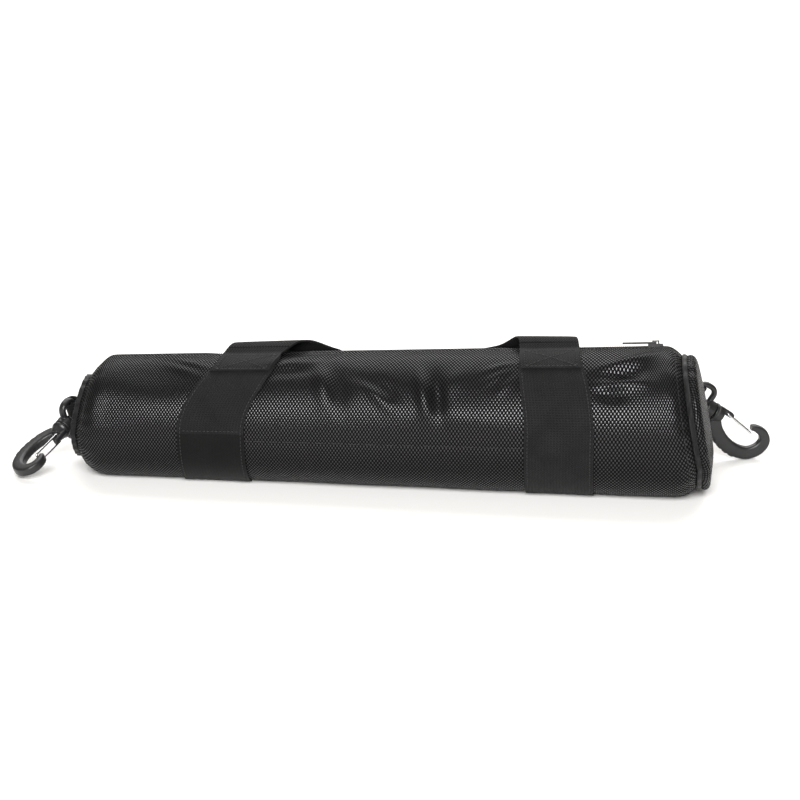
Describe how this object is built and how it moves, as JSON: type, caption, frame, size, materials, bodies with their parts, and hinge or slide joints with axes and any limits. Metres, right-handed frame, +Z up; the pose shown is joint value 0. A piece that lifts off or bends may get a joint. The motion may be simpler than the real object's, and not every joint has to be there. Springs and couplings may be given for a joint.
{
  "type": "drawing tube",
  "caption": "Soft padded carrying tube for rolled drawings, with webbing bands and handles, a full-length zip and a swivel snap hook at each end.",
  "frame": {"origin": "on the underside that rests on the floor, midway between the two end seams", "axes": "+X along the case towards its fuller end, +Z up, -Y towards the front, where the slip pocket is sewn"},
  "size_m": [0.5601, 0.136, 0.1107],
  "materials": {
    "cover": "black ballistic nylon, coarse basket weave with a low sheen",
    "webbing": "black ribbed nylon webbing, matte",
    "binding": "black smooth binding tape",
    "zip_tape": "black woven zip tape",
    "zip_coil": "black nylon coil",
    "zip_metal": "black enamelled die-cast metal",
    "hook_plastic": "black moulded acetal, satin",
    "steel_wire": "bright drawn steel wire",
    "lining": "dark grey taffeta",
    "foam": "closed-cell foam"
  },
  "bodies": {
    "case": {"cover": "cover", "padding": "foam", "lining": "lining", "slip_pocket": "lining", "left_cap_cover": "cover", "right_cap_cover": "cover", "left_cap_padding": "foam", "right_cap_padding": "foam", "left_cap_lining": "lining", "right_cap_lining": "lining", "left_seam_binding": "binding", "right_seam_binding": "binding", "left_zip_end_patch": "cover", "right_zip_end_patch": "cover", "left_lower_band": "webbing", "left_upper_band": "webbing", "right_band": "webbing", "left_tab": "webbing", "right_tab": "webbing"},
    "front_tape": {"front_zip_tape": "zip_tape", "front_zip_coil": "zip_coil"},
    "back_tape": {"back_zip_tape": "zip_tape", "back_zip_coil": "zip_coil"},
    "slider": {"zip_slider": "zip_metal"},
    "puller": {"zip_puller": "zip_metal"},
    "front_handle_legs": {"front_handle_left_leg": "webbing", "front_handle_right_leg": "webbing"},
    "front_handle_grip": {"front_handle_grip": "webbing"},
    "back_handle": {"back_handle": "webbing"},
    "left_eye": {"left_hook_eye": "hook_plastic"},
    "left_hook": {"left_hook_body": "hook_plastic"},
    "left_gate": {"left_wire_gate": "steel_wire"},
    "right_eye": {"right_hook_eye": "hook_plastic"},
    "right_hook": {"right_hook_body": "hook_plastic"},
    "right_gate": {"right_wire_gate": "steel_wire"}
  },
  "joints": [
    {"name": "zip_slide", "type": "slide", "parent": "case", "child": "slider", "axis": [0.9988, 0.0087, 0.0492], "range_m": [-0.388, 0]},
    {"name": "puller_tilt", "type": "hinge", "parent": "slider", "child": "puller", "pos_m": [0.194, 0.0195, 0.10526], "axis": [0, 0.9397, -0.342], "range_deg": [0, 165]},
    {"name": "front_tape_fold", "type": "hinge", "parent": "case", "child": "front_tape", "pos_m": [0, 0.00811, 0.0937], "axis": [-0.9987, -0.0043, -0.0503], "range_deg": [0, 78]},
    {"name": "back_tape_fold", "type": "hinge", "parent": "case", "child": "back_tape", "pos_m": [0, 0.02397, 0.08793], "axis": [0.9988, 0.0128, 0.0473], "range_deg": [0, 78]},
    {"name": "front_handle_swing", "type": "hinge", "parent": "case", "child": "front_handle_legs", "pos_m": [0, -0.00182, 0.09882], "axis": [0.9987, -0.0009, 0.0507], "range_deg": [0, 165]},
    {"name": "front_handle_fold", "type": "hinge", "parent": "front_handle_legs", "child": "front_handle_grip", "pos_m": [0.01575, 0.02893, 0.09826], "axis": [0.9985, -0.0019, 0.0555], "range_deg": [0, 102.3]},
    {"name": "back_handle_swing", "type": "hinge", "parent": "case", "child": "back_handle", "pos_m": [0, 0.03486, 0.08547], "axis": [0.9989, 0.017, 0.0442], "range_deg": [0, 90]},
    {"name": "left_eye_swing", "type": "hinge", "parent": "case", "child": "left_eye", "pos_m": [-0.24, 0.024, 0.034], "axis": [0.1353, 0.3548, -0.9251], "range_deg": [-8, 110]},
    {"name": "left_swivel", "type": "hinge", "parent": "left_eye", "child": "left_hook", "pos_m": [-0.24643, 0.00715, 0.0266], "axis": [-0.3297, -0.8643, -0.3797], "continuous": true},
    {"name": "left_gate_open", "type": "hinge", "parent": "left_hook", "child": "left_gate", "pos_m": [-0.24622, -0.00374, 0.02355], "axis": [0.3574, 0.258, -0.8976], "range_deg": [0, 26], "stiffness_Nm_per_rad": 0.02},
    {"name": "right_eye_swing", "type": "hinge", "parent": "case", "child": "right_eye", "pos_m": [0.222, 0.063, 0.0498], "axis": [0.5236, 0.1322, 0.8416], "range_deg": [-12, 110]},
    {"name": "right_swivel", "type": "hinge", "parent": "right_eye", "child": "right_hook", "pos_m": [0.23791, 0.06702, 0.03927], "axis": [0.816, 0.206, -0.54], "continuous": true},
    {"name": "right_gate_open", "type": "hinge", "parent": "right_hook", "child": "right_gate", "pos_m": [0.24868, 0.06974, 0.03713], "axis": [-0.2448, 0.9696, 0], "range_deg": [0, 26], "stiffness_Nm_per_rad": 0.02}
  ],
  "couplings": [
    {"joint": "front_handle_fold", "follows": "front_handle_swing", "ratio": 0.62}
  ]
}
